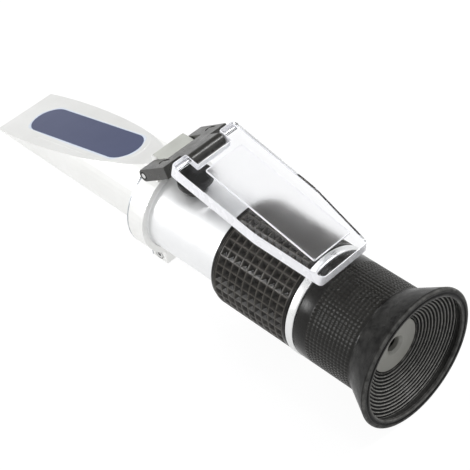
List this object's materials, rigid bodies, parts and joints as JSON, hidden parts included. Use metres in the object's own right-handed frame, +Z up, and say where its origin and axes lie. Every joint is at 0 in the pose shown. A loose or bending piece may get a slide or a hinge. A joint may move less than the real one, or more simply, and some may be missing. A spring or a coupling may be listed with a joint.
{
  "type": "optical refractometer",
  "caption": "Hand-held optical refractometer with a focusing eyepiece, a prism in a sloping face and a hinged daylight plate swung open over the grip.",
  "frame": {"origin": "centre of the bounding box's underside at rest, on the table under the middle of the tube", "axes": "+X along the tube towards the eyecup, +Z up through the hinge boss, +Y across the tube"},
  "size_m": [0.1578, 0.04, 0.0521],
  "materials": {
    "black_rubber": "matt",
    "cup_rubber": "satin",
    "black_plastic": "satin",
    "satin_white": "satin anodised",
    "cast_metal": "blasted and anodised",
    "window_glass": "polished",
    "pale_resin": "smooth",
    "lens_glass": "polished",
    "clear_acrylic": "polished",
    "frosted_acrylic": "frosted",
    "brass": "turned",
    "steel": "turned",
    "grey_disc": "satin"
  },
  "bodies": {
    "tube": {"barrel_tube": "satin_white", "guide_key": "steel", "collar_ring": "satin_white", "rubber_grip": "black_rubber", "scale_reticle": "lens_glass", "reticle_ring": "brass", "objective_cell": "brass", "objective_lens": "lens_glass", "calibration_screw": "steel", "calibration_cap": "black_rubber", "clamp_collar": "cast_metal", "clamp_screw": "steel", "front_housing": "cast_metal", "main_prism": "window_glass", "prism_seal": "pale_resin", "swing_pin": "steel"},
    "lens_carriage": {"lens_tube": "brass", "eye_lens": "lens_glass", "lens_spacer": "brass", "field_lens": "lens_glass", "lens_retainer": "brass"},
    "focus_ring": {"focus_sleeve": "black_plastic", "eyecup": "cup_rubber", "aperture_disc": "grey_disc"},
    "bracket": {"hinge_bracket": "black_plastic", "plate_pin": "steel"},
    "plate": {"daylight_plate": "clear_acrylic", "frosted_pane": "frosted_acrylic"}
  },
  "joints": [
    {"name": "focus_travel", "type": "slide", "parent": "tube", "child": "lens_carriage", "axis": [1, 0, 0], "range_m": [0, 0.003]},
    {"name": "focus_turn", "type": "hinge", "parent": "lens_carriage", "child": "focus_ring", "pos_m": [0.0789, 0, 0.02], "axis": [1, 0, 0], "range_deg": [0, 270]},
    {"name": "bracket_swing", "type": "hinge", "parent": "tube", "child": "bracket", "pos_m": [-0.00616, 0, 0.0408], "axis": [0, -1, 0], "range_deg": [0, 162.7]},
    {"name": "plate_swing", "type": "hinge", "parent": "bracket", "child": "plate", "pos_m": [0.00762, 0, 0.04988], "axis": [0, -1, 0], "range_deg": [0, 45.1]}
  ],
  "couplings": [
    {"joint": "focus_turn", "follows": "focus_travel", "rad_per_m": 1570.8}
  ]
}
